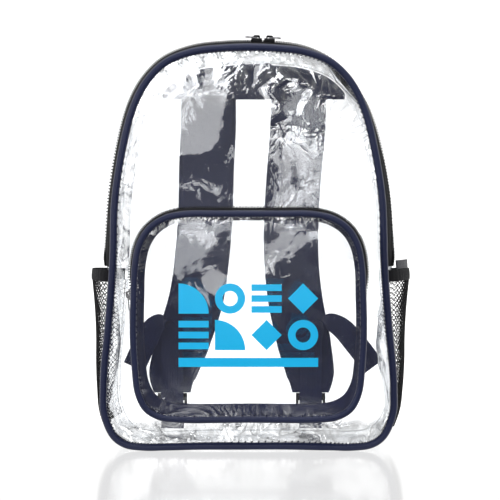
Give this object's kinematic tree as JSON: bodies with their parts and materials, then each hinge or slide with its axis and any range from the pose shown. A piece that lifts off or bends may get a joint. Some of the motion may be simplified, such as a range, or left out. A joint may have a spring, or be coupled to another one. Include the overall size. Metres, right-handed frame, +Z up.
{
  "type": "clear backpack",
  "caption": "Clear vinyl backpack with navy bound seams, a zipped front pocket, net side pockets and padded shoulder straps.",
  "frame": {"origin": "middle of the bag's footprint, on the surface that it stands on", "axes": "+Z up, the front with its pocket faces -Y, +X to the right of someone looking at the front"},
  "size_m": [0.3384, 0.2204, 0.4268],
  "materials": {
    "clear_vinyl": "gloss",
    "navy_cloth": "matte",
    "navy_binding": "satin",
    "black_tape": "matte",
    "black_net": "matte",
    "grey_tab": "satin",
    "black_plastic": "satin",
    "silver_metal": "satin",
    "print_ink": "satin"
  },
  "bodies": {
    "bag": {"front_panel": "clear_vinyl", "back_panel": "clear_vinyl", "front_piping": "navy_binding", "rear_binding": "clear_vinyl", "main_zip_tape": "black_tape", "main_zip_teeth": "black_plastic", "upper_wall": "clear_vinyl", "lower_wall": "clear_vinyl", "pocket_panel": "clear_vinyl", "pocket_piping": "navy_binding", "pocket_zip_tape": "black_tape", "pocket_zip_teeth": "black_plastic", "pocket_upper_wall": "navy_cloth", "pocket_lower_wall": "navy_cloth", "main_left_slider": "silver_metal", "main_right_slider": "silver_metal", "pocket_slider": "silver_metal", "side_net_left": "black_net", "side_net_right": "black_net", "side_hem_left": "black_tape", "side_hem_right": "black_tape", "hem_tab": "grey_tab", "yoke": "navy_cloth", "strap_left": "navy_cloth", "strap_right": "navy_cloth", "lock_left": "black_plastic", "lock_right": "black_plastic", "webbing_left": "navy_cloth", "webbing_right": "navy_cloth", "haul_loop": "navy_cloth"},
    "main_left_zip_pull": {"main_left_pull": "silver_metal"},
    "main_right_zip_pull": {"main_right_pull": "silver_metal"},
    "pocket_zip_pull": {"pocket_pull": "silver_metal"}
  },
  "joints": [
    {"name": "main_left_pull_swing", "type": "hinge", "parent": "bag", "child": "main_left_zip_pull", "pos_m": [0.00578, -0.05108, 0.42446], "axis": [0.0064, 0.9698, 0.2439], "range_deg": [0, 120]},
    {"name": "main_right_pull_swing", "type": "hinge", "parent": "bag", "child": "main_right_zip_pull", "pos_m": [0.01919, -0.05106, 0.4241], "axis": [-0.0142, -0.9707, -0.24], "range_deg": [0, 120]},
    {"name": "pocket_pull_swing", "type": "hinge", "parent": "bag", "child": "pocket_zip_pull", "pos_m": [-0.12359, -0.09075, 0.16036], "axis": [0.0026, 1, 0.0002], "range_deg": [0, 170]}
  ]
}
